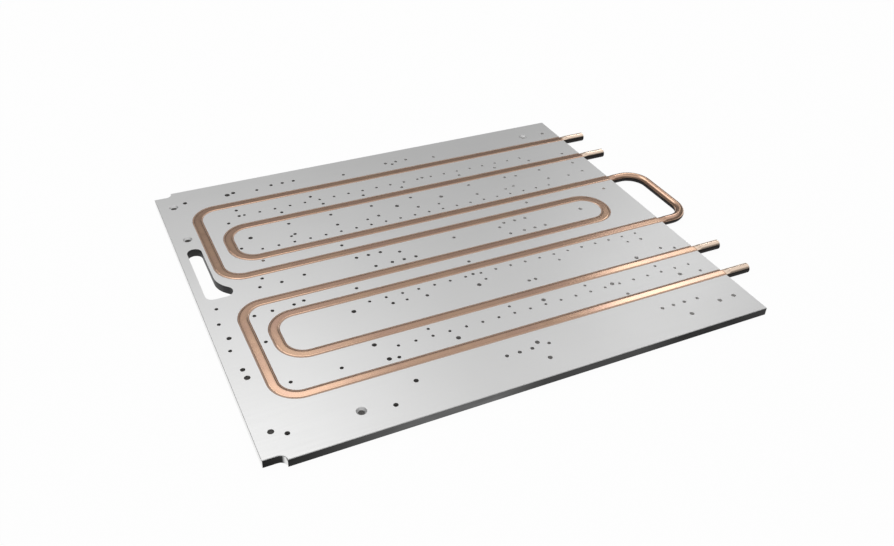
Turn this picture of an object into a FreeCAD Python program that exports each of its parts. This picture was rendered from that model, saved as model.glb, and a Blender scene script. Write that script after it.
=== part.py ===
import FreeCAD, Part
import math
import os
import Sketcher
from FreeCAD import Vector

# Liquid cooling cold plate: an aluminium plate with two serpentine copper tubes pressed into
# grooves and flattened flush with its face. Millimetres. X runs along the straight tube runs
# towards the connection stubs, Y across them and Z up. The origin is the centre of the plate's
# underside. Every body's own frame lies on the mid-line of the two circuits, which the tubes and
# their grooves are symmetric about.

doc = FreeCAD.newDocument("ColdPlate")
sizes = doc.addObject("Spreadsheet::Sheet", "Sizes")

DIMENSIONS = (
    # plate
    ("plate_length", 585),
    ("plate_width", 500),
    ("plate_thickness", 10),
    ("edge_break", 0.5),
    ("notch_length", 22),
    ("notch_depth", 8),
    ("notch_straight", 0.5),
    # hand-hold slot: a web is left beside the outer loop's groove
    ("slot_inset", 11),
    ("slot_web", 4.2),
    ("slot_near_end", -2.5),
    ("slot_far_end", 103),
    ("slot_mouth_radius", 9.5),
    ("slot_flare_start", 38.5),
    ("slot_flare_radius", 32),
    # circuits: their mid-line lies off the plate's centre, and the runs are counted out from it
    ("circuit_offset", 9.5),
    ("first_run", 184),
    ("second_run", 129.3),
    ("third_run", 58.2),
    ("return_straight", 0.8),
    ("outer_loop_inset", 38.5),
    ("inner_loop_inset", 63.2),
    ("return_bend_inset", 50.2),
    ("loop_radius", 26.5),
    # tube
    ("tube_diameter", 12),
    ("tube_wall", 1),
    ("pressed_width", 12.6),
    ("pressed_height", 8.5),
    ("shoulder_radius", 3),
    ("floor_radius", 4.5),
    ("bond_gap", 0.05),
    ("stub_axis_height", 6.2),
    ("stub_length", 36),
    ("rounding_length", 8),
    ("link_reach", 46),
    ("cut_overrun", 1),
    # tapped rows, stations and module bays of the component side
    ("tapped_depth", 7),
    ("row_hole", 3.6),
    ("row_pitch", 20),
    ("row_past_second", 25.1),
    ("row_past_third", 14.6),
    ("far_row_inset", 96),
    ("far_row_margin", 89),
    ("near_row_inset", 175.5),
    ("near_row_margin", 29.5),
    ("station_pitch", 100),
    ("station_past_second", 12.7),
    ("station_past_third", 27.5),
    ("far_station_inset", 136),
    ("far_station_margin", 49),
    ("near_station_inset", 215.5),
    ("near_station_margin", 69.5),
    ("bay_hole", 4.2),
    ("bay_pitch", 55.5),
    ("first_bay_inset", 141.3),
    ("second_bay_margin", 191),
    ("bay_past_second", 13.4),
    ("bay_short_of_second", 15.5),
    ("bay_depth", 54),
    ("strip_hole", 4.4),
    ("strip_pitch", 15.3),
    ("bracket_hole", 4.2),
    ("cover_hole", 5.4),
    # through holes that hold the plate down
    ("fixing_hole", 6.6),
    ("countersink", 2.2),
)
for line, (alias, number) in enumerate(DIMENSIONS, start=1):
    sizes.set(f"A{line}", alias)
    sizes.set(f"B{line}", str(number))
    sizes.setAlias(f"B{line}", alias)
doc.recompute()

# Places that several bodies share, as expressions over the sheet.
LEFT_EDGE = "(-Sizes.plate_length / 2)"
RIGHT_EDGE = "(Sizes.plate_length / 2)"
NEAR_EDGE = "(-Sizes.plate_width / 2 - Sizes.circuit_offset)"
FAR_EDGE = "(Sizes.plate_width / 2 - Sizes.circuit_offset)"
NOTCH_END = f"({LEFT_EDGE} + Sizes.notch_length)"
NOTCH_RADIUS = "(Sizes.notch_depth - Sizes.notch_straight)"
OUTER_LOOP = f"({LEFT_EDGE} + Sizes.outer_loop_inset)"
INNER_LOOP = f"({LEFT_EDGE} + Sizes.inner_loop_inset)"
RETURN_BEND = f"({RIGHT_EDGE} - Sizes.return_bend_inset)"
ROUND_FROM = f"({RIGHT_EDGE} + Sizes.rounding_length)"
LINK_LINE = f"({RIGHT_EDGE} + Sizes.link_reach)"
TOP = "Sizes.plate_thickness"
BEND = "Sizes.loop_radius"
FOURTH_RUN = "(Sizes.loop_radius + Sizes.return_straight)"
SLOT_LEFT = f"({LEFT_EDGE} + Sizes.slot_inset)"
SLOT_RIGHT = f"({OUTER_LOOP} - Sizes.pressed_width / 2 - Sizes.slot_web)"
SLOT_RADIUS = f"(({SLOT_RIGHT} - {SLOT_LEFT}) / 2)"
# Middle lines of the lanes of bare face, between two tube runs or between a run and an edge.
FIRST_LANE = "(Sizes.first_run + Sizes.second_run) / 2"
SECOND_LANE = "(Sizes.second_run + Sizes.third_run) / 2"
THIRD_LANE = f"(Sizes.third_run + {FOURTH_RUN}) / 2"
FAR_MARGIN = f"(Sizes.first_run + {FAR_EDGE}) / 2"
NEAR_MARGIN = f"({NEAR_EDGE} - Sizes.first_run) / 2"


def value(thing, expression):
    """The number that an expression over the sheet stands for."""
    found = thing.evalExpression(str(expression))
    return float(getattr(found, "Value", found))


def new_body(label):
    """A body whose own frame lies on the mid-line of the circuits."""
    body = doc.addObject("PartDesign::Body", label)
    body.Label = label
    body.setExpression(".Placement.Base.y", "Sizes.circuit_offset")
    return body


def new_sketch(body, name, role, offset=None):
    """An empty sketch on one of the body's origin planes, moved along its normal by offset."""
    plane = next(feature for feature in body.Origin.OriginFeatures if feature.Role == role)
    sketch = body.newObject("Sketcher::SketchObject", name)
    sketch.AttachmentSupport = (plane, [""])
    sketch.MapMode = "FlatFace"
    if offset:
        sketch.setExpression(".AttachmentOffset.Base.z", offset)
    return sketch


def add_driven(sketch, driven):
    """Adds dimensions to a sketch, each one bound to its expression over the sheet."""
    made = [Sketcher.Constraint(*where, value(sketch, text)) for where, text in driven]
    first = sketch.ConstraintCount
    sketch.addConstraint(made)
    for index, (where, text) in enumerate(driven, start=first):
        sketch.setExpression(f"Constraints[{index}]", str(text))


def quarter(corner, before, after, radius):
    """Quarter arc that rounds a corner, and whether the outline follows it anticlockwise."""
    first = corner - before * radius
    last = corner + after * radius
    centre = first + after * radius
    turns_left = before.cross(after).z > 0
    start = first if turns_left else last
    angle = math.atan2(start.y - centre.y, start.x - centre.x)
    circle = Part.Circle(centre, Vector(0, 0, 1), radius)
    return Part.ArcOfCircle(circle, angle, angle + math.pi / 2), turns_left


def square_outline(sketch, lines, radii, ends=None):
    """Draws lines that turn by right angles, each corner rounded by its radius or left sharp.

    A line is ("x", place) or ("y", place), the one coordinate that it keeps. The outline is
    closed, unless ends gives the other coordinate of its first and of its last point.
    """
    count = len(lines)
    places = [value(sketch, place) for axis, place in lines]
    corners = []
    for index in range(count if ends is None else count - 1):
        here, there = places[index], places[(index + 1) % count]
        corners.append(Vector(here, there, 0) if lines[index][0] == "x" else Vector(there, here, 0))
    points = [corners[index - 1] for index in range(count)] + corners[-1:]
    points[1:count] = corners[:count - 1]
    if ends:
        outside = [value(sketch, end) for end in ends]
        for index, line, end in ((0, 0, outside[0]), (count, count - 1, outside[1])):
            flat = lines[line][0] == "y"
            points[index] = Vector(end, places[line], 0) if flat else Vector(places[line], end, 0)
        points = points[:count + 1]
    headings = [(points[index + 1] - points[index]).normalize() for index in range(count)]
    reach = [value(sketch, radius) if radius else 0 for radius in radii]

    base = sketch.GeometryCount
    rules, driven = [], []
    for index in range(count):
        trim = reach[index - 1] if (index or ends is None) else 0
        cut = reach[index] if index < len(reach) else 0
        start = points[index] + headings[index] * trim
        finish = points[index + 1] - headings[index] * cut
        sketch.addGeometry(Part.LineSegment(start, finish))
        axis, place = lines[index]
        rules.append(Sketcher.Constraint("Vertical" if axis == "x" else "Horizontal", base + index))
        driven.append((("Distance" + axis.upper(), base + index, 1), place))
    for index, radius in enumerate(radii):
        after = (index + 1) % count
        if not radius:
            rules.append(Sketcher.Constraint("Coincident", base + index, 2, base + after, 1))
            continue
        arc, turns_left = quarter(points[index + 1], headings[index], headings[after], reach[index])
        number = sketch.addGeometry(arc)
        enter, leave = (1, 2) if turns_left else (2, 1)
        rules.append(Sketcher.Constraint("Tangent", base + index, 2, number, enter))
        rules.append(Sketcher.Constraint("Tangent", number, leave, base + after, 1))
        driven.append((("Radius", number), radius))
    if ends:
        for index, point, end in ((0, 1, ends[0]), (count - 1, 2, ends[1])):
            axis = "X" if lines[index][0] == "y" else "Y"
            driven.append((("Distance" + axis, base + index, point), end))
    sketch.addConstraint(rules)
    add_driven(sketch, driven)


def circles(sketch, centres, diameter):
    """Draws one circle for each centre, a pair of expressions over the sheet."""
    size = value(sketch, diameter)
    driven = []
    for across, along in centres:
        place = Vector(value(sketch, across), value(sketch, along), 0)
        number = sketch.addGeometry(Part.Circle(place, Vector(0, 0, 1), size / 2))
        driven.append((("DistanceX", number, 3), across))
        driven.append((("DistanceY", number, 3), along))
        driven.append((("Diameter", number), diameter))
    add_driven(sketch, driven)


def sweep(body, kind, name, section, path):
    """Carries a section along a flat path."""
    pipe = body.newObject(f"PartDesign::{kind}Pipe", name)
    pipe.Profile = section
    pipe.Spine = (path, [f"Edge{number}" for number in range(1, path.GeometryCount + 1)])
    pipe.Mode = "Standard"
    return pipe


def mirror(body, name, features):
    """Repeats features on the other side of the circuits' mid-line."""
    plane = next(feature for feature in body.Origin.OriginFeatures if feature.Role == "XZ_Plane")
    copy = body.newObject("PartDesign::Mirrored", name)
    copy.Originals = features
    copy.MirrorPlane = (plane, [""])
    body.Tip = copy
    return copy


# The far half of each circuit's route in the plate. The near half mirrors it.
OUTER_ROUTE = (("y", "Sizes.first_run"), ("x", OUTER_LOOP), ("y", FOURTH_RUN), ("x", RETURN_BEND))
INNER_ROUTE = (("y", "Sizes.second_run"), ("x", INNER_LOOP), ("y", "Sizes.third_run"))


def route_sketch(body, name, route, start, finish):
    """Centre line of a tube, at the height of the round stubs' axis."""
    path = new_sketch(body, name, "XY_Plane", "Sizes.stub_axis_height")
    square_outline(path, route, [BEND] * (len(route) - 1), ends=(start, finish))
    return path


# ---------------------------------------------------------------- plate
plate = new_body("aluminium_plate")

outline = new_sketch(plate, "PlateOutline", "XY_Plane")
square_outline(
    outline,
    (("y", NEAR_EDGE), ("x", RIGHT_EDGE), ("y", FAR_EDGE), ("x", NOTCH_END),
     ("y", f"{FAR_EDGE} - Sizes.notch_depth"), ("x", LEFT_EDGE),
     ("y", f"{NEAR_EDGE} + Sizes.notch_depth"), ("x", NOTCH_END)),
    (None, None, None, NOTCH_RADIUS, None, None, NOTCH_RADIUS, None))
slab = plate.newObject("PartDesign::Pad", "Slab")
slab.Profile = outline
slab.setExpression("Length", TOP)
doc.recompute()

rim = plate.newObject("PartDesign::Chamfer", "EdgeBreak")
rim.Base = (slab, [f"Edge{number}" for number, edge in enumerate(slab.Shape.Edges, start=1)
                   if edge.BoundBox.ZLength < 0.001])
rim.setExpression("Size", "Sizes.edge_break")
doc.recompute()

# Hand-hold slot: parallel walls, a half-round far end, and a near end that widens beside the
# corner of the outer tube loop.
slot = new_sketch(plate, "SlotOutline", "XY_Plane", TOP)
left, right, radius = value(slot, SLOT_LEFT), value(slot, SLOT_RIGHT), value(slot, SLOT_RADIUS)
near, far = value(slot, "Sizes.slot_near_end"), value(slot, "Sizes.slot_far_end")
mouth, flare = value(slot, "Sizes.slot_mouth_radius"), value(slot, "Sizes.slot_flare_radius")
flare_centre = Vector(right + flare, value(slot, "Sizes.slot_flare_start"), 0)
rise = flare_centre.y - near - mouth
mouth_centre = Vector(flare_centre.x - math.sqrt((flare + mouth) ** 2 - rise ** 2), near + mouth, 0)
lean = math.atan2(rise, flare_centre.x - mouth_centre.x)
far_centre = Vector(left + radius, far - radius, 0)
heel_centre = Vector(left + radius, near + radius, 0)
up = Vector(0, 0, 1)
slot.addGeometry([
    Part.LineSegment(Vector(left, heel_centre.y, 0), Vector(left, far_centre.y, 0)),
    Part.ArcOfCircle(Part.Circle(far_centre, up, radius), 0, math.pi),
    Part.LineSegment(Vector(right, far_centre.y, 0), Vector(right, flare_centre.y, 0)),
    Part.ArcOfCircle(Part.Circle(flare_centre, up, flare), math.pi, math.pi + lean),
    Part.ArcOfCircle(Part.Circle(mouth_centre, up, mouth), -math.pi / 2, lean),
    Part.LineSegment(Vector(mouth_centre.x, near, 0), Vector(heel_centre.x, near, 0)),
    Part.ArcOfCircle(Part.Circle(heel_centre, up, radius), math.pi, math.pi * 3 / 2),
])
slot.addConstraint(
    [Sketcher.Constraint("Tangent", *pair) for pair in (
        (0, 2, 1, 2), (1, 1, 2, 1), (2, 2, 3, 1), (3, 2, 4, 2), (4, 1, 5, 1), (5, 2, 6, 2),
        (6, 1, 0, 1))]
    + [Sketcher.Constraint("Vertical", 0), Sketcher.Constraint("Vertical", 2),
       Sketcher.Constraint("Horizontal", 5)])
add_driven(slot, (
    (("DistanceX", 0, 1), SLOT_LEFT),
    (("DistanceX", 2, 1), SLOT_RIGHT),
    (("DistanceY", 1, 3), f"Sizes.slot_far_end - {SLOT_RADIUS}"),
    (("DistanceY", 3, 3), "Sizes.slot_flare_start"),
    (("Radius", 3), "Sizes.slot_flare_radius"),
    (("Radius", 4), "Sizes.slot_mouth_radius"),
    (("DistanceY", 5, 1), "Sizes.slot_near_end"),
    (("Radius", 6), SLOT_RADIUS),
))
hand_hold = plate.newObject("PartDesign::Pocket", "HandHold")
hand_hold.Profile = slot
hand_hold.Type = "ThroughAll"
doc.recompute()


def groove(name, route, run, finish):
    """Groove with upright walls and a rounded floor, open at the face and at the right edge."""
    start = f"{RIGHT_EDGE} + Sizes.cut_overrun"
    path = route_sketch(plate, name + "Line", route, start, finish)
    section = new_sketch(plate, name + "Section", "YZ_Plane", start)
    half = "Sizes.pressed_width / 2"
    square_outline(
        section,
        (("x", f"{run} - {half}"), ("y", f"{TOP} - Sizes.pressed_height"),
         ("x", f"{run} + {half}"), ("y", f"{TOP} + Sizes.cut_overrun")),
        ("Sizes.floor_radius", "Sizes.floor_radius", None, None))
    cut = sweep(plate, "Subtractive", name, section, path)
    doc.recompute()
    return cut


outer_groove = groove("OuterGroove", OUTER_ROUTE, "Sizes.first_run", "0")
inner_groove = groove("InnerGroove", INNER_ROUTE, "Sizes.second_run",
                      f"{RIGHT_EDGE} + Sizes.cut_overrun")
mirror(plate, "NearGrooves", [outer_groove, inner_groove])
doc.recompute()


def drill(name, centres, diameter, depth=None):
    """Drills the plate from its face, to a depth or right through."""
    sketch = new_sketch(plate, name + "Centres", "XY_Plane", TOP)
    circles(sketch, centres, diameter)
    holes = plate.newObject("PartDesign::Pocket", name)
    holes.Profile = sketch
    if depth:
        holes.setExpression("Length", depth)
    else:
        holes.Type = "ThroughAll"
    doc.recompute()
    return holes


def along(inset):
    """Place along the plate: from its left edge, or back from its right edge where negative."""
    edge = RIGHT_EDGE if str(inset).startswith("-") else LEFT_EDGE
    return f"{edge} + ({inset})"


def row(inset, pitch, count, offset):
    """Centres of a row of holes that runs along the tubes."""
    return [(along(f"{inset} + {number} * {pitch}"), offset) for number in range(count)]


def fitted(inset, margin, pitch):
    """How many holes at this pitch lie between an inset and a margin at the right edge."""
    return round(value(plate, f"(Sizes.plate_length - {inset} - {margin}) / {pitch}")) + 1


def in_lanes(lanes):
    """Centres of single holes, each by its place along the plate and its step off a lane's line."""
    return [(along(inset), f"{line} + ({step})") for line, holes in lanes for inset, step in holes]


# Mounting rows: two beside the first pair of tube runs, two beside the last pair.
pitch = "Sizes.row_pitch"
outer_row = "(Sizes.second_run + Sizes.row_past_second)"
inner_row = "(Sizes.third_run + Sizes.row_past_third)"
far_count = fitted("Sizes.far_row_inset", "Sizes.far_row_margin", pitch)
near_count = fitted("Sizes.near_row_inset", "Sizes.near_row_margin", pitch)
drill("MountingRows",
      row("Sizes.far_row_inset", pitch, far_count, outer_row)
      + row("Sizes.far_row_inset", pitch, far_count, inner_row)
      + row("Sizes.near_row_inset", pitch, near_count - 1, "-" + inner_row)
      + row("Sizes.near_row_inset", pitch, near_count, "-" + outer_row),
      "Sizes.row_hole", "Sizes.tapped_depth")

# Stations: a wider-pitched row inside each mounting row.
pitch = "Sizes.station_pitch"
outer_station = "(Sizes.second_run + Sizes.station_past_second)"
inner_station = "(Sizes.third_run + Sizes.station_past_third)"
far_count = fitted("Sizes.far_station_inset", "Sizes.far_station_margin", pitch)
near_count = fitted("Sizes.near_station_inset", "Sizes.near_station_margin", pitch)
drill("Stations",
      row("Sizes.far_station_inset", pitch, far_count, inner_station)
      + row("Sizes.near_station_inset", pitch, near_count, "-" + inner_station)
      + row("Sizes.near_station_inset", pitch, near_count, "-" + outer_station),
      "Sizes.row_hole", "Sizes.tapped_depth")

# Module bays: two bays of four columns and three rows, which the second run passes under.
BAY_COLUMNS = 4
pitch = "Sizes.bay_pitch"
bay_rows = ("Sizes.second_run + Sizes.bay_past_second",
            "Sizes.second_run - Sizes.bay_short_of_second",
            "Sizes.second_run + Sizes.bay_past_second - Sizes.bay_depth")
drill("ModuleBays",
      [centre for inset in ("Sizes.first_bay_inset", "-Sizes.second_bay_margin")
       for offset in bay_rows for centre in row(inset, pitch, BAY_COLUMNS, offset)],
      "Sizes.bay_hole", "Sizes.tapped_depth")

# Terminal strips: groups of three at one pitch, each by its first hole.
STRIP_HOLES = 3
STRIPS = (
    (FAR_MARGIN, ((148.5, 1), (312.5, -1.5))),
    ("0", ((192.5, 12), (228.5, -12.5), (393, 12), (409, -12.5))),
    (NEAR_MARGIN, ((272.5, 7.5), (473.5, 9))),
)
pitch = "Sizes.strip_pitch"
drill("TerminalStrips",
      [centre for line, strips in STRIPS for inset, step in strips
       for centre in row(inset, pitch, STRIP_HOLES, f"{line} + ({step})")],
      "Sizes.strip_hole", "Sizes.tapped_depth")

# Bracket and clamp holes, placed one by one for what the plate carries.
BRACKETS = (
    (FAR_MARGIN, ((127.5, -4), (247, -9), (320.5, -6.5), (383, -9))),
    (FIRST_LANE, ((73, -14), (89.5, 12), (89.5, -2), (187, 8.5), (343.5, -1))),
    (SECOND_LANE, ((73, -11), (466, 18))),
    (THIRD_LANE, ((89.5, 6), (185.5, 0.5), (444.5, 1.5), (-24, -7))),
    # between the return bend's runs, and in the left margin
    ("0", ((71.5, 0), (78.5, 15), (97, 0), (125, 3.5), (207.5, -12.5), (245, 4), (319, 6.5),
           (383, 5), (389, -12.5), (13, -94), (13, -47.5), (17, -20.5), (50.5, -94.5), (51.5, -48))),
    ("-" + THIRD_LANE, ((72, -4), (97, -2.5), (109, 0), (171, -1.5), (313, -4))),
    ("-" + SECOND_LANE, ((198.5, 8), (239.5, 6), (306, 22.5), (360.5, -14.5), (369, -14.5),
                         (-50.5, 7), (-39.5, -19), (-23, -25.5))),
    ("-" + FIRST_LANE, ((55.5, -6.5), (109, -7), (169, -15), (453, -18), (-24, -14))),
    (NEAR_MARGIN, ((324, 8), (-63, 8.5))),
)
drill("BracketHoles", in_lanes(BRACKETS), "Sizes.bracket_hole", "Sizes.tapped_depth")

# Larger tapped holes for the cover and for heavy parts.
COVERS = (
    (FAR_MARGIN, ((34, -2), (97, 0), (-19, -4))),
    (SECOND_LANE, ((89, 7), (283, 7.5), (346.5, 7))),
    ("0", ((17, -74), (17, -127), (-82.5, 3.5))),
    ("-" + SECOND_LANE, ((153, 11), (303, 1), (-80, -25))),
    ("-" + FIRST_LANE, ((152.5, 13), (158.5, -13.5), (239, -11.5), (357, 10), (447, 5), (-51.5, -10.5))),
    (NEAR_MARGIN, ((31.5, -6.5), (138.5, -12.5), (170.5, 11), (313, 14), (313, -12.5), (498.5, -12),
                   (-41, -5), (-20, -4))),
)
drill("CoverHoles", in_lanes(COVERS), "Sizes.cover_hole", "Sizes.tapped_depth")

# Screws that hold the plate down pass right through it. Some have sunk heads.
PLAIN = ((FAR_MARGIN, ((88.5, -2.5),)), ("0", ((18, -140.25),)), (NEAR_MARGIN, ((18, 1.5),)))
SUNK = ((FAR_MARGIN, ((18.5, -7.5), (-52, -2.5))), ("0", ((18.5, 126),)), (NEAR_MARGIN, ((105, -7),)))
drill("FixingHoles", in_lanes(PLAIN), "Sizes.fixing_hole")
sunk = drill("SunkHoles", in_lanes(SUNK), "Sizes.fixing_hole")
mouths = plate.newObject("PartDesign::Chamfer", "Countersinks")
centres = [Vector(value(sunk, across), value(sunk, offset), 0) for across, offset in in_lanes(SUNK)]
top_height = value(sunk, TOP)
rims = []
for number, edge in enumerate(sunk.Shape.Edges, start=1):
    middle = edge.BoundBox.Center
    if abs(middle.z - top_height) < 0.001 and edge.Closed:
        if any(math.hypot(middle.x - at.x, middle.y - at.y) < 0.01 for at in centres):
            rims.append(f"Edge{number}")
mouths.Base = (sunk, rims)
mouths.setExpression("Size", "Sizes.countersink")
doc.recompute()


# ---------------------------------------------------------------- copper tubes
def pressed_section(body, name, run):
    """The flattened tube at the right edge: flat top, rounded shoulders, deeply rounded floor."""
    sketch = new_sketch(body, name, "YZ_Plane", RIGHT_EDGE)
    for inset in ("Sizes.bond_gap", "(Sizes.bond_gap + Sizes.tube_wall)"):
        half = f"(Sizes.pressed_width / 2 - {inset})"
        floor = f"Sizes.floor_radius - {inset}"
        shoulder = f"Sizes.shoulder_radius + Sizes.bond_gap - {inset}"
        square_outline(
            sketch,
            (("x", f"{run} - {half}"), ("y", f"{TOP} - Sizes.pressed_height + {inset}"),
             ("x", f"{run} + {half}"), ("y", f"{TOP} + Sizes.bond_gap - {inset}")),
            (floor, floor, shoulder, shoulder))
    return sketch


def round_section(body, name, run):
    """The tube where it is round again, clear of the plate."""
    sketch = new_sketch(body, name, "YZ_Plane", ROUND_FROM)
    centre = [(run, "Sizes.stub_axis_height")]
    circles(sketch, centre, "Sizes.tube_diameter")
    circles(sketch, centre, "Sizes.tube_diameter - 2 * Sizes.tube_wall")
    return sketch


def rounding(body, name, pressed, rounded):
    """Short length in which the tube changes from its pressed to its round section."""
    loft = body.newObject("PartDesign::AdditiveLoft", name)
    loft.Profile = pressed
    loft.Sections = [(rounded, [""])]
    return loft


def stub(body, name, rounded):
    """Round connection stub, cut square."""
    pad = body.newObject("PartDesign::Pad", name)
    pad.Profile = rounded
    pad.setExpression("Length", "Sizes.stub_length - Sizes.rounding_length")
    return pad


outer_tube = new_body("outer_circuit_tube")
pressed = pressed_section(outer_tube, "FirstRunPressed", "Sizes.first_run")
rounded = round_section(outer_tube, "FirstRunRound", "Sizes.first_run")
path = route_sketch(outer_tube, "OuterLine", OUTER_ROUTE, RIGHT_EDGE, "0")
halves = [
    sweep(outer_tube, "Additive", "OuterPressed", pressed, path),
    rounding(outer_tube, "FirstRunRounding", pressed, rounded),
    stub(outer_tube, "FirstRunStub", rounded),
]
doc.recompute()
mirror(outer_tube, "OuterNearHalf", halves)

inner_tube = new_body("inner_circuit_tube")
pressed = pressed_section(inner_tube, "SecondRunPressed", "Sizes.second_run")
rounded = round_section(inner_tube, "SecondRunRound", "Sizes.second_run")
link_pressed = pressed_section(inner_tube, "ThirdRunPressed", "Sizes.third_run")
link_round = round_section(inner_tube, "ThirdRunRound", "Sizes.third_run")
path = route_sketch(inner_tube, "InnerLine", INNER_ROUTE, RIGHT_EDGE, RIGHT_EDGE)
link_path = route_sketch(inner_tube, "LinkLine", (("y", "Sizes.third_run"), ("x", LINK_LINE)),
                         ROUND_FROM, "0")
halves = [
    sweep(inner_tube, "Additive", "InnerPressed", pressed, path),
    rounding(inner_tube, "SecondRunRounding", pressed, rounded),
    stub(inner_tube, "SecondRunStub", rounded),
    rounding(inner_tube, "ThirdRunRounding", link_pressed, link_round),
    sweep(inner_tube, "Additive", "LinkBend", link_round, link_path),
]
doc.recompute()
mirror(inner_tube, "InnerNearHalf", halves)

# ---------------------------------------------------------------- checks and files
doc.recompute()
for thing in doc.Objects:
    if "Invalid" in thing.State or "Error" in thing.State:
        raise RuntimeError(f"{thing.Name} did not build: {thing.State}")

os.makedirs("parts", exist_ok=True)
for piece in (plate, outer_tube, inner_tube):
    shape = piece.Shape
    if shape.isNull() or not shape.isValid() or not shape.Solids:
        raise RuntimeError(f"{piece.Label} is not a valid solid")
    print(f"{piece.Label}: {len(shape.Solids)} solid, {shape.Volume:.0f} mm3, box {shape.BoundBox}")
    shape.exportStep(f"parts/{piece.Label}.step")
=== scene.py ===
import math

import bpy
from mathutils import Matrix, Vector


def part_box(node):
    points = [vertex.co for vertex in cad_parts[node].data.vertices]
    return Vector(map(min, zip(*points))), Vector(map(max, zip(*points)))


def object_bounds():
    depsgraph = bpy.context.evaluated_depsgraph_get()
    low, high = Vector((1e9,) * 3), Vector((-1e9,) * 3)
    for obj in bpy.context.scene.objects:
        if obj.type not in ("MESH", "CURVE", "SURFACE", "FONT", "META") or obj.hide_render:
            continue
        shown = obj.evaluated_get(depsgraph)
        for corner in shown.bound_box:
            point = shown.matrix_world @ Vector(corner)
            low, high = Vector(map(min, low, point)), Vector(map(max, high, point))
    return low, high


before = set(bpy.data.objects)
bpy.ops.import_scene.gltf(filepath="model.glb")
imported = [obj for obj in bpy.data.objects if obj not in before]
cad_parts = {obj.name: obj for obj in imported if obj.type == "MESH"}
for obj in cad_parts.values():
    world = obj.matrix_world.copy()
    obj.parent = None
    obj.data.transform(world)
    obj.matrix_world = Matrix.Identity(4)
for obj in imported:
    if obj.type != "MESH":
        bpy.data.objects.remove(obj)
cad_low, cad_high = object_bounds()
plate_low, plate_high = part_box("aluminium_plate")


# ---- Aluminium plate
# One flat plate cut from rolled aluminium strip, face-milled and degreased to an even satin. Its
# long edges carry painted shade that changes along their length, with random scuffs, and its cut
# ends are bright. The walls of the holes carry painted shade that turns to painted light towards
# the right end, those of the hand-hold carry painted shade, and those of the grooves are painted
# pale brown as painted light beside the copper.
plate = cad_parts["aluminium_plate"]
SATIN = (0.77, 0.77, 0.765)
SATIN_PALE = (0.82, 0.82, 0.82)
SATIN_CLOUDS = 9.0
SATIN_STREAKS = (14.0, 620.0, 620.0)
SATIN_ROUGHNESS = ((0.3, 0.45), (0.7, 0.475))
MILLED_GRAIN = 1400.0
GRAIN_DEPTH = 0.000004
END_ROUGHNESS = (0.12, 0.12, 0.12)
# How much a surface turns upwards before it stops being a wall, and to the side before it is an end.
WALL_TURN = (0.25, 0.6)
END_TURN = (0.5, 0.9)
LONG_EDGE = (plate_high.y - 0.0090, plate_high.y - 0.0085)
CUT_END = (plate_high.x - 0.0006, plate_high.x - 0.0004)
# Painted shade on the long edges: their grey level along the edge, by the share of the plate's
# length from its left end.
PAINTED_EDGE_SHADE = ((0.0, 0.010), (0.10, 0.042), (0.28, 0.165), (0.40, 0.165), (0.50, 0.055),
              (0.70, 0.070), (0.80, 0.012), (0.92, 0.008), (1.0, 0.028))
SCUFF_STRETCH = (30.0, 200.0, 200.0)
SCUFF_SHARE = ((0.35, 0.0), (0.65, 0.35))
SCUFF_GREY = (0.05, 0.05, 0.048)
# Painted shade on the walls inside the plate, turning to painted light on those towards its right
# end.
HOLE_WALL_SHADE = (0.26, 0.25, 0.24)
HOLE_WALL_LIGHT = (0.80, 0.79, 0.78)
HOLE_SHADE_TO_LIGHT = (-0.16, 0.16)
CUTTER_DULLNESS = 0.8
# Painted light on the groove walls beside the copper, a pale brown.
GROOVE_PAINTED_LIGHT = (0.92, 0.79, 0.69)
GROOVE_DULLNESS = 0.2
GROOVE_REACH = 0.0078
GROOVES_START = 0.030
# The grooves follow rectangles with rounded corners, counted out from the circuits' mid-line. An
# end that stays open is put far off the plate.
CIRCUIT_MIDDLE = 0.0095
FIRST_RUN = 0.184
SECOND_RUN = 0.1293
THIRD_RUN = 0.0582
FOURTH_RUN = 0.0273
BEND = 0.0265
OUTER_LOOP = plate_low.x + 0.0385
INNER_LOOP = plate_low.x + 0.0632
RETURN_BEND = plate_high.x - 0.0502
FAR_OFF = 1.0
# Painted shade on the walls of the hand-hold and its mouth.
HAND_HOLD_SHADE = (0.008, 0.008, 0.009)
HAND_HOLD_REACH = 0.030
HAND_HOLD_ENDS = (0.000, 0.120)
MOUTH_REACH = 0.046
MOUTH_ENDS = (0.000, 0.037)
BLUR = 0.0005


def node(tree, kind, sockets=None, **settings):
    """Adds a shader node. Sockets maps an input's name or number to a value or another's output."""
    made = tree.nodes.new(kind)
    for name, setting in settings.items():
        setattr(made, name, setting)
    for key, given in (sockets or {}).items():
        if isinstance(given, bpy.types.NodeSocket):
            tree.links.new(given, made.inputs[key])
        else:
            made.inputs[key].default_value = given
    return made


def ramp(tree, factor, *stops):
    """Colour ramp whose stops are (place, grey level or colour)."""
    made = node(tree, "ShaderNodeValToRGB", {"Fac": factor})
    band = made.color_ramp
    while len(band.elements) < len(stops):
        band.elements.new(0.5)
    for element, (place, level) in zip(band.elements, stops):
        element.position = place
        element.color = (*(level if isinstance(level, tuple) else (level,) * 3), 1)
    return made.outputs["Color"]


def noise(tree, vector, scale, detail=3.0, roughness=0.5):
    """Noise value over a vector."""
    sockets = {"Vector": vector, "Scale": scale, "Detail": detail, "Roughness": roughness}
    return node(tree, "ShaderNodeTexNoise", sockets).outputs["Fac"]


def stretched(tree, vector, scale):
    """The vector scaled by a different factor along each axis."""
    sockets = {"Vector": vector, "Scale": scale}
    return node(tree, "ShaderNodeMapping", sockets).outputs["Vector"]


def between(tree, low, high, number):
    """0 below low, 1 above high and a smooth step between them."""
    sockets = {"Value": number, "From Min": low, "From Max": high}
    made = node(tree, "ShaderNodeMapRange", sockets, interpolation_type="SMOOTHSTEP")
    return made.outputs["Result"]


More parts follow.
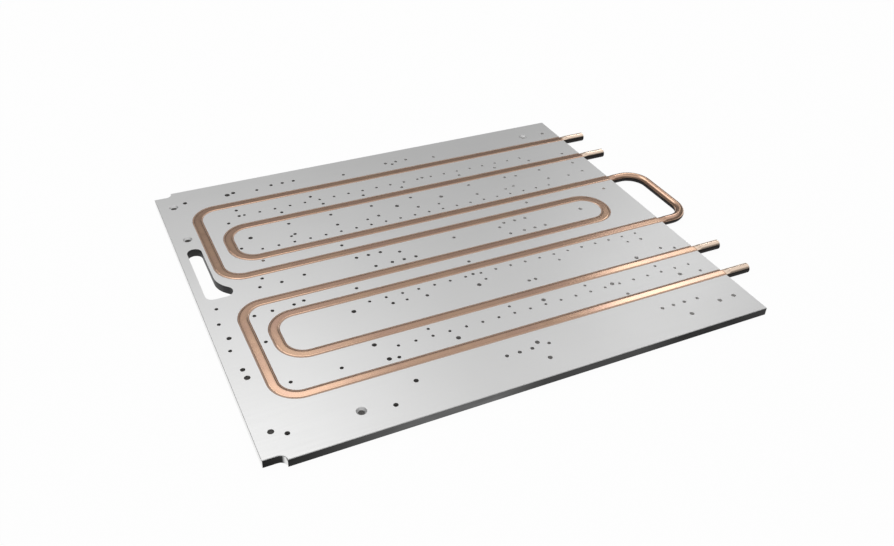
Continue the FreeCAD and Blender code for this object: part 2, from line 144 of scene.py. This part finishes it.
def calculate(tree, operation, *numbers):
    """A sum on numbers or outputs."""
    made = node(tree, "ShaderNodeMath", dict(enumerate(numbers)), operation=operation)
    return made.outputs["Value"]


def opposite(tree, mask):
    """1 where the mask is 0 and 0 where it is 1."""
    return calculate(tree, "SUBTRACT", 1.0, mask)


def both(tree, first, second):
    """Where two masks overlap, or a mask weakened by a number."""
    return calculate(tree, "MULTIPLY", first, second)


def within(tree, low, high, blur, number):
    """1 between low and high and 0 outside them, with an edge as wide as blur."""
    above = between(tree, low - blur, low, number)
    return both(tree, above, opposite(tree, between(tree, high, high + blur, number)))


def mixed(tree, factor, first, second):
    """Colour between two colours or outputs."""
    made = node(tree, "ShaderNodeMix", data_type="RGBA")
    for name, given in (("Factor_Float", factor), ("A_Color", first), ("B_Color", second)):
        socket = next(one for one in made.inputs if one.identifier == name)
        if isinstance(given, bpy.types.NodeSocket):
            tree.links.new(given, socket)
        else:
            socket.default_value = (*given, 1) if isinstance(given, tuple) else given
    return next(one for one in made.outputs if one.identifier == "Result_Color")


def from_route(tree, spot, left, right, low, high):
    """Distance from the outline of a rectangle whose corners have the tubes' bend."""
    def vector(operation, *given, out="Vector"):
        made = node(tree, "ShaderNodeVectorMath", dict(enumerate(given)), operation=operation)
        return made.outputs[out]

    centre = ((left + right) / 2, (low + high) / 2, 0.0)
    half = ((right - left) / 2 - BEND, (high - low) / 2 - BEND, 0.0)
    beyond = vector("SUBTRACT", vector("ABSOLUTE", vector("SUBTRACT", spot, centre)), half)
    reach = vector("LENGTH", vector("MAXIMUM", beyond, (0.0, 0.0, 0.0)), out="Value")
    return calculate(tree, "ABSOLUTE", calculate(tree, "SUBTRACT", reach, BEND))


def to_tubes(tree, axes):
    """Distance along the face from the middle line of the nearest tube run or bend."""
    over = calculate(tree, "ABSOLUTE", calculate(tree, "SUBTRACT", axes["Y"], CIRCUIT_MIDDLE))
    spot = node(tree, "ShaderNodeCombineXYZ", {"X": axes["X"], "Y": over}).outputs["Vector"]
    outer = from_route(tree, spot, OUTER_LOOP, FAR_OFF, FOURTH_RUN, FIRST_RUN)
    inner = from_route(tree, spot, INNER_LOOP, FAR_OFF, THIRD_RUN, SECOND_RUN)
    turned = from_route(tree, spot, -FAR_OFF, RETURN_BEND, -FOURTH_RUN, FOURTH_RUN)
    return calculate(tree, "MINIMUM", calculate(tree, "MINIMUM", outer, inner), turned)


def new_material(name):
    """A material with a bare principled surface, its node tree and its place output."""
    material = bpy.data.materials.new(name)
    material.use_nodes = True
    tree = material.node_tree
    place = node(tree, "ShaderNodeTexCoord").outputs["Object"]
    return material, tree, tree.nodes["Principled BSDF"], place


def relief(tree, surface, height, depth):
    """Gives the surface fine relief of a depth in metres."""
    bump = node(tree, "ShaderNodeBump", {"Height": height, "Distance": depth, "Strength": 1.0})
    tree.links.new(bump.outputs["Normal"], surface.inputs["Normal"])


def dress(piece, material):
    """Puts one material on a CAD node."""
    piece.data.materials.clear()
    piece.data.materials.append(material)


satin, tree, surface, place = new_material("satin_aluminium")
clouds = noise(tree, place, SATIN_CLOUDS, detail=4.0)
grain = noise(tree, place, MILLED_GRAIN, detail=2.0)
streaks = noise(tree, stretched(tree, place, SATIN_STREAKS), 1.0, detail=3.0)
axes = node(tree, "ShaderNodeSeparateXYZ", {"Vector": place}).outputs
along = axes["X"]
across = calculate(tree, "ABSOLUTE", axes["Y"])
normal = node(tree, "ShaderNodeNewGeometry").outputs["Normal"]
facing = node(tree, "ShaderNodeSeparateXYZ", {"Vector": normal}).outputs
facing_up = calculate(tree, "ABSOLUTE", facing["Z"])
facing_end = calculate(tree, "ABSOLUTE", facing["X"])
wall = opposite(tree, between(tree, *WALL_TURN, facing_up))

# Where each wall lies: in a long edge or its notch, in a cut end, or inside the plate.
in_long_edge = between(tree, *LONG_EDGE, across)
turned_to_end = both(tree, in_long_edge, between(tree, *END_TURN, facing_end))
in_end = between(tree, *CUT_END, calculate(tree, "ABSOLUTE", along))
cut_end = both(tree, wall, calculate(tree, "MAXIMUM", in_end, turned_to_end))
inside = both(tree, wall, opposite(tree, in_long_edge))
inside = both(tree, inside, opposite(tree, in_end))

share = node(tree, "ShaderNodeMapRange", {
    "Value": along, "From Min": plate_low.x, "From Max": plate_high.x}).outputs["Result"]
scuffs = noise(tree, stretched(tree, place, SCUFF_STRETCH), 1.0, detail=4.0)
# Painted shade on the long edges, changing along them, with random darker scuffs over it.
edge_shade_and_scuffs = mixed(tree, ramp(tree, scuffs, *SCUFF_SHARE), ramp(tree, share, *PAINTED_EDGE_SHADE), SCUFF_GREY)
# Painted shade on the walls inside the plate, turning to painted light towards its right end.
cut = mixed(tree, between(tree, *HOLE_SHADE_TO_LIGHT, along), HOLE_WALL_SHADE, HOLE_WALL_LIGHT)
from_left = calculate(tree, "SUBTRACT", along, plate_low.x)
groove = calculate(tree, "LESS_THAN", to_tubes(tree, axes), GROOVE_REACH)
groove = both(tree, groove, calculate(tree, "GREATER_THAN", from_left, GROOVES_START))
# Painted light: the groove walls beside the copper are pale brown.
cut = mixed(tree, groove, cut, GROOVE_PAINTED_LIGHT)
# Painted shade on the walls of the hand-hold and its mouth.
slot = both(tree, within(tree, BLUR, HAND_HOLD_REACH, BLUR, from_left),
            within(tree, *HAND_HOLD_ENDS, BLUR, axes["Y"]))
mouth = both(tree, within(tree, BLUR, MOUTH_REACH, BLUR, from_left),
             within(tree, *MOUTH_ENDS, BLUR, axes["Y"]))
cut = mixed(tree, calculate(tree, "MAXIMUM", slot, mouth), cut, HAND_HOLD_SHADE)
wall_colour = mixed(tree, in_long_edge, cut, edge_shade_and_scuffs)
wall_colour = mixed(tree, cut_end, wall_colour, SATIN)
face_colour = mixed(tree, clouds, SATIN, SATIN_PALE)
tree.links.new(mixed(tree, wall, face_colour, wall_colour), surface.inputs["Base Color"])
rough = mixed(tree, cut_end, ramp(tree, streaks, *SATIN_ROUGHNESS), END_ROUGHNESS)
tree.links.new(rough, surface.inputs["Roughness"])
dullness = calculate(tree, "ADD", CUTTER_DULLNESS, both(tree, groove, GROOVE_DULLNESS))
bright = opposite(tree, both(tree, inside, dullness))
tree.links.new(bright, surface.inputs["Metallic"])
relief(tree, surface, grain, GRAIN_DEPTH)
dress(plate, satin)


# ---- Outer circuit tube
# Drawn copper tube, 12 mm, bent to the outer route, laid in its groove and pressed flush with the
# face. The press leaves a burnished crown, with painted shade that makes it browner to its sides
# and painted light that makes the shoulders down in the groove's mouth a pale brown. The stubs
# carry a painted highlight that makes them pale, and the parts off the plate carry near-black
# painted shade on their lower side.
outer_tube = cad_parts["outer_circuit_tube"]
COPPER = (0.67, 0.435, 0.295)
COPPER_PINK = (0.62, 0.39, 0.29)
COPPER_BROWN = (0.50, 0.31, 0.22)
COPPER_PATCHES = 22.0
COPPER_BLOTCHES = 75.0
PINK_SHARE = ((0.38, 0.0), (0.62, 1.0))
BROWN_SHARE = ((0.50, 0.0), (0.75, 0.5))
# Painted shade towards the sides of the crown.
PAINTED_CROWN_SHADE = (0.47, 0.30, 0.205)
CROWN_SIDE = (0.0008, 0.0052)
# Painted light on the shoulders down in the groove, a pale brown.
PAINTED_SHOULDER_LIGHT = (0.66, 0.48, 0.38)
SHOULDER_HEIGHT = (plate_high.z - 0.00050, plate_high.z - 0.00018)
SHOULDER_DULLNESS = 0.8
OFF_PLATE = (plate_high.x, plate_high.x + 0.002)
# Painted highlight on the stubs, a pale cream.
PAINTED_STUB_HIGHLIGHT = (0.95, 0.755, 0.60)
STUB_OUT = (0.085, 0.090)
# Painted shade, near black, on the lower side of the parts off the plate. It reaches up to a
# height that is greater on the stubs than on the link bend.
PAINTED_UNDERSIDE_SHADE = (0.010, 0.006, 0.005)
UNDERSIDE_SHADE_HEIGHT = 0.0076
UNDERSIDE_SHADE_ON_STUB = 0.0014
UNDERSIDE_SHADE_BLUR = 0.0006
CROWN_ROUGHNESS = (0.22, 0.22, 0.22)
UNDERSIDE_SHADE_ROUGHNESS = (0.8, 0.8, 0.8)
BURNISH = 0.5
BURNISH_ROUGHNESS = 0.16
COPPER_GRAIN = 900.0

copper, tree, surface, place = new_material("pressed_copper")
patches = noise(tree, place, COPPER_PATCHES, detail=4.0, roughness=0.6)
blotches = noise(tree, place, COPPER_BLOTCHES, detail=3.0)
colour = mixed(tree, ramp(tree, patches, *PINK_SHARE), COPPER, COPPER_PINK)
colour = mixed(tree, ramp(tree, blotches, *BROWN_SHARE), colour, COPPER_BROWN)
axes = node(tree, "ShaderNodeSeparateXYZ", {"Vector": place}).outputs
beyond_plate = between(tree, *OFF_PLATE, axes["X"])
# Painted shade: the crown turns browner towards its sides.
off_crown = between(tree, *CROWN_SIDE, to_tubes(tree, axes))
off_crown = both(tree, off_crown, opposite(tree, beyond_plate))
colour = mixed(tree, off_crown, colour, PAINTED_CROWN_SHADE)
# Painted light: the shoulders down in the groove's mouth are a pale, dull brown.
shoulder = opposite(tree, between(tree, *SHOULDER_HEIGHT, axes["Z"]))
shoulder = both(tree, shoulder, opposite(tree, beyond_plate))
colour = mixed(tree, shoulder, colour, PAINTED_SHOULDER_LIGHT)
# Painted highlight: the stubs are pale cream.
stub = between(tree, *STUB_OUT, calculate(tree, "ABSOLUTE", axes["Y"]))
colour = mixed(tree, both(tree, stub, beyond_plate), colour, PAINTED_STUB_HIGHLIGHT)
# Painted shade, near black, on the lower side of the parts off the plate, reaching higher on the
# stubs.
shade_low = calculate(tree, "ADD", both(tree, stub, UNDERSIDE_SHADE_ON_STUB), UNDERSIDE_SHADE_HEIGHT)
shade_high = calculate(tree, "ADD", shade_low, UNDERSIDE_SHADE_BLUR)
underneath = opposite(tree, between(tree, shade_low, shade_high, axes["Z"]))
underneath = both(tree, underneath, beyond_plate)
colour = mixed(tree, underneath, colour, PAINTED_UNDERSIDE_SHADE)
tree.links.new(colour, surface.inputs["Base Color"])
dull = calculate(tree, "MAXIMUM", both(tree, shoulder, SHOULDER_DULLNESS), underneath)
tree.links.new(opposite(tree, dull), surface.inputs["Metallic"])
rough = mixed(tree, underneath, CROWN_ROUGHNESS, UNDERSIDE_SHADE_ROUGHNESS)
tree.links.new(rough, surface.inputs["Roughness"])
burnished = both(tree, opposite(tree, underneath), BURNISH)
tree.links.new(burnished, surface.inputs["Coat Weight"])
surface.inputs["Coat Roughness"].default_value = BURNISH_ROUGHNESS
relief(tree, surface, noise(tree, place, COPPER_GRAIN, detail=2.0), GRAIN_DEPTH)
dress(outer_tube, copper)


# ---- Inner circuit tube
# The same tube on the inner route. It leaves the plate once on its way, in a bend that links the
# two halves, and there it is round again.
dress(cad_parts["inner_circuit_tube"], copper)


# ---- Studio
# Plain pale floor that stays white to the eye and to polished metal, and that still takes the
# plate's soft shadow.
FLOOR_SIZE = 30.0
FLOOR_DROP = 0.0004
FLOOR_PALE = (0.9, 0.9, 0.9, 1)
FLOOR_ROUGHNESS = 0.9
WHITE_SHARE = 0.97

bpy.ops.mesh.primitive_plane_add(size=FLOOR_SIZE, location=(0, 0, cad_low.z - FLOOR_DROP))
floor = bpy.context.object
floor.name = "studio_floor"
pale, tree, surface, _ = new_material("pale_floor")
surface.inputs["Base Color"].default_value = FLOOR_PALE
surface.inputs["Roughness"].default_value = FLOOR_ROUGHNESS
rays = node(tree, "ShaderNodeLightPath").outputs
seen = calculate(tree, "MAXIMUM", rays["Is Camera Ray"], rays["Is Glossy Ray"])
seen = calculate(tree, "MAXIMUM", seen, rays["Is Transmission Ray"])
glow = node(tree, "ShaderNodeEmission", {"Color": (1, 1, 1, 1), "Strength": 1.0})
shown = node(tree, "ShaderNodeMixShader", {
    "Fac": calculate(tree, "MULTIPLY", seen, WHITE_SHARE),
    1: surface.outputs["BSDF"], 2: glow.outputs["Emission"]})
tree.links.new(shown.outputs["Shader"], tree.nodes["Material Output"].inputs["Surface"])
floor.data.materials.append(pale)

# Soft light of a white room whose walls are a little darker than its ceiling, by height from
# straight down to straight up, and two soft boxes behind the plate that its metal mirrors.
ROOM = ((0.0, 0.25), (0.43, 0.17), (0.52, 0.28), (0.58, 0.40), (0.66, 0.60), (0.74, 0.86),
        (0.84, 0.90), (0.96, 0.60))
WHITE = (1.0, 1.0, 1.0)

world = bpy.data.worlds.new("white_room")
world.use_nodes = True
bpy.context.scene.world = world
tree = world.node_tree
towards = node(tree, "ShaderNodeTexCoord").outputs["Generated"]
sky = node(tree, "ShaderNodeSeparateXYZ", {"Vector": towards}).outputs["Z"]
room = ramp(tree, sky, *ROOM)
rays = node(tree, "ShaderNodeLightPath").outputs
seen = calculate(tree, "MAXIMUM", rays["Is Camera Ray"], rays["Is Transmission Ray"])
tree.links.new(mixed(tree, seen, room, WHITE), tree.nodes["Background"].inputs["Color"])


def soft_box(name, target, bearing, rise, distance, width, height, power):
    """A lamp that faces a target from a bearing east of +Y and a rise above the floor."""
    lamp = bpy.data.lights.new(name, "AREA")
    lamp.shape = "RECTANGLE"
    lamp.size = width
    lamp.size_y = height
    lamp.energy = power
    held = bpy.data.objects.new(name, lamp)
    bpy.context.scene.collection.objects.link(held)
    bearing = math.radians(bearing)
    rise = math.radians(rise)
    out = Vector((math.sin(bearing) * math.cos(rise), math.cos(bearing) * math.cos(rise),
                  math.sin(rise)))
    held.location = Vector(target) + out * distance
    held.rotation_euler = out.to_track_quat("Z", "Y").to_euler()


soft_box("right_soft_box", target=(0.22, -0.165, 0.01), bearing=45.0, rise=36.3, distance=2.0,
         width=0.44, height=0.30, power=1.35)
soft_box("left_soft_box", target=(-0.28, -0.24, 0.01), bearing=6.0, rise=54.0, distance=2.0,
         width=0.90, height=0.90, power=4.1)


# ---- Camera
# It looks down on the plate from beyond its near left corner, a little tilted.
LOOK_AT = (-0.01386, -0.04819, plate_high.z)
CAMERA_BEARING = 27.298
CAMERA_RISE = 35.971
CAMERA_TILT = 2.632
CAMERA_DISTANCE = 1.04153
LENS = 35.84
CLIP_END = 100.0

camera = bpy.data.objects.new("camera", bpy.data.cameras.new("camera"))
bpy.context.scene.collection.objects.link(camera)
bearing = math.radians(CAMERA_BEARING)
rise = math.radians(CAMERA_RISE)
back = Vector((-math.sin(bearing) * math.cos(rise), -math.cos(bearing) * math.cos(rise),
               math.sin(rise)))
camera.location = Vector(LOOK_AT) + back * CAMERA_DISTANCE
turn = back.to_track_quat("Z", "Y").to_matrix()
camera.rotation_euler = (turn @ Matrix.Rotation(math.radians(CAMERA_TILT), 3, "Z")).to_euler()
camera.data.lens = LENS
camera.data.clip_end = CLIP_END
bpy.context.scene.camera = camera
bpy.context.scene.view_settings.view_transform = "Standard"
